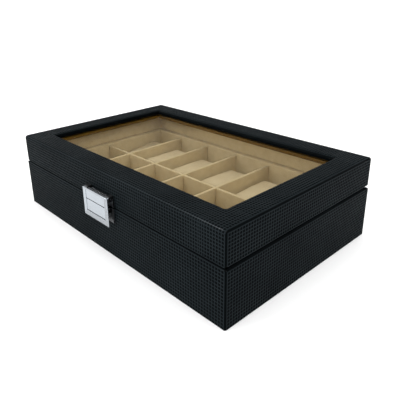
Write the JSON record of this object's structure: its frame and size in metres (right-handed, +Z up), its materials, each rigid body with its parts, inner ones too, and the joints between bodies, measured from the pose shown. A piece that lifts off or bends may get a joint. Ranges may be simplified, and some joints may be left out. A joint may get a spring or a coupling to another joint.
{
  "type": "watch box",
  "caption": "Rectangular leather-covered watch box with a hinged glass-topped lid, a front flip clasp and divided, velvet-lined compartments that each hold a removable pillow.",
  "frame": {"origin": "middle of the underside, on the plane the box rests on", "axes": "+X along the length, to the right seen from the front; -Y towards the clasp at the front; +Z up"},
  "size_m": [0.305, 0.2067, 0.081],
  "materials": {
    "covering": "black covering pressed with a fine square grid, satin",
    "board": "raw fibreboard",
    "felt": "black felt",
    "lining": "beige velvet",
    "pillow": "beige velvet over soft filling",
    "bead": "dark brown stained strip",
    "glass": "clear polished glass",
    "chrome": "satin to bright chrome",
    "hinge_steel": "nickel-plated steel"
  },
  "bodies": {
    "base": {"underside_felt": "felt", "bottom_panel": "board", "base_front_wall": "board", "base_back_wall": "board", "base_right_wall": "board", "base_left_wall": "board", "base_leather_wrap": "covering", "floor_pad": "lining", "base_liner_back": "lining", "base_liner_front": "lining", "base_liner_right": "lining", "base_liner_left": "lining", "long_divider": "lining", "cross_divider_1": "lining", "cross_divider_2": "lining", "cross_divider_3": "lining", "cross_divider_4": "lining", "cross_divider_5": "lining", "hinge_base_leaf_left": "hinge_steel", "hinge_base_leaf_right": "hinge_steel", "hinge_pin_left": "hinge_steel", "hinge_pin_right": "hinge_steel", "hinge_base_screws": "hinge_steel", "clasp_catch_plate": "chrome", "clasp_catch_nails": "chrome"},
    "lid": {"lid_front_wall": "board", "lid_back_wall": "board", "lid_right_wall": "board", "lid_left_wall": "board", "lid_top_frame": "board", "lid_leather_wrap": "covering", "glass_panel": "glass", "glass_bead_back": "bead", "glass_bead_front": "bead", "glass_bead_right": "bead", "glass_bead_left": "bead", "lid_liner_back": "lining", "lid_liner_front": "lining", "lid_liner_right": "lining", "lid_liner_left": "lining", "hinge_lid_leaf_left": "hinge_steel", "hinge_lid_leaf_right": "hinge_steel", "hinge_lid_screws": "hinge_steel", "clasp_lid_plate": "chrome", "clasp_pin": "chrome", "clasp_plate_nails": "chrome"},
    "clasp_flap": {"clasp_flap": "chrome"},
    "pillow_front_1": {"pillow_front_1": "pillow"},
    "pillow_front_2": {"pillow_front_2": "pillow"},
    "pillow_front_3": {"pillow_front_3": "pillow"},
    "pillow_front_4": {"pillow_front_4": "pillow"},
    "pillow_front_5": {"pillow_front_5": "pillow"},
    "pillow_front_6": {"pillow_front_6": "pillow"},
    "pillow_back_1": {"pillow_back_1": "pillow"},
    "pillow_back_2": {"pillow_back_2": "pillow"},
    "pillow_back_3": {"pillow_back_3": "pillow"},
    "pillow_back_4": {"pillow_back_4": "pillow"},
    "pillow_back_5": {"pillow_back_5": "pillow"},
    "pillow_back_6": {"pillow_back_6": "pillow"}
  },
  "joints": [
    {"name": "lid_hinge", "type": "hinge", "parent": "base", "child": "lid", "pos_m": [0, 0.097, 0.0512], "axis": [-1, 0, 0], "range_deg": [0, 98]},
    {"name": "clasp_hinge", "type": "hinge", "parent": "lid", "child": "clasp_flap", "pos_m": [0, -0.1031, 0.0606], "axis": [-1, 0, 0], "range_deg": [0, 95]},
    {"name": "pillow_front_1_lift", "type": "slide", "parent": "base", "child": "pillow_front_1", "axis": [0, 0, 1], "range_m": [0, 0.029]},
    {"name": "pillow_front_2_lift", "type": "slide", "parent": "base", "child": "pillow_front_2", "axis": [0, 0, 1], "range_m": [0, 0.029]},
    {"name": "pillow_front_3_lift", "type": "slide", "parent": "base", "child": "pillow_front_3", "axis": [0, 0, 1], "range_m": [0, 0.029]},
    {"name": "pillow_front_4_lift", "type": "slide", "parent": "base", "child": "pillow_front_4", "axis": [0, 0, 1], "range_m": [0, 0.029]},
    {"name": "pillow_front_5_lift", "type": "slide", "parent": "base", "child": "pillow_front_5", "axis": [0, 0, 1], "range_m": [0, 0.029]},
    {"name": "pillow_front_6_lift", "type": "slide", "parent": "base", "child": "pillow_front_6", "axis": [0, 0, 1], "range_m": [0, 0.029]},
    {"name": "pillow_back_1_lift", "type": "slide", "parent": "base", "child": "pillow_back_1", "axis": [0, 0, 1], "range_m": [0, 0.029]},
    {"name": "pillow_back_2_lift", "type": "slide", "parent": "base", "child": "pillow_back_2", "axis": [0, 0, 1], "range_m": [0, 0.029]},
    {"name": "pillow_back_3_lift", "type": "slide", "parent": "base", "child": "pillow_back_3", "axis": [0, 0, 1], "range_m": [0, 0.029]},
    {"name": "pillow_back_4_lift", "type": "slide", "parent": "base", "child": "pillow_back_4", "axis": [0, 0, 1], "range_m": [0, 0.029]},
    {"name": "pillow_back_5_lift", "type": "slide", "parent": "base", "child": "pillow_back_5", "axis": [0, 0, 1], "range_m": [0, 0.029]},
    {"name": "pillow_back_6_lift", "type": "slide", "parent": "base", "child": "pillow_back_6", "axis": [0, 0, 1], "range_m": [0, 0.029]}
  ]
}
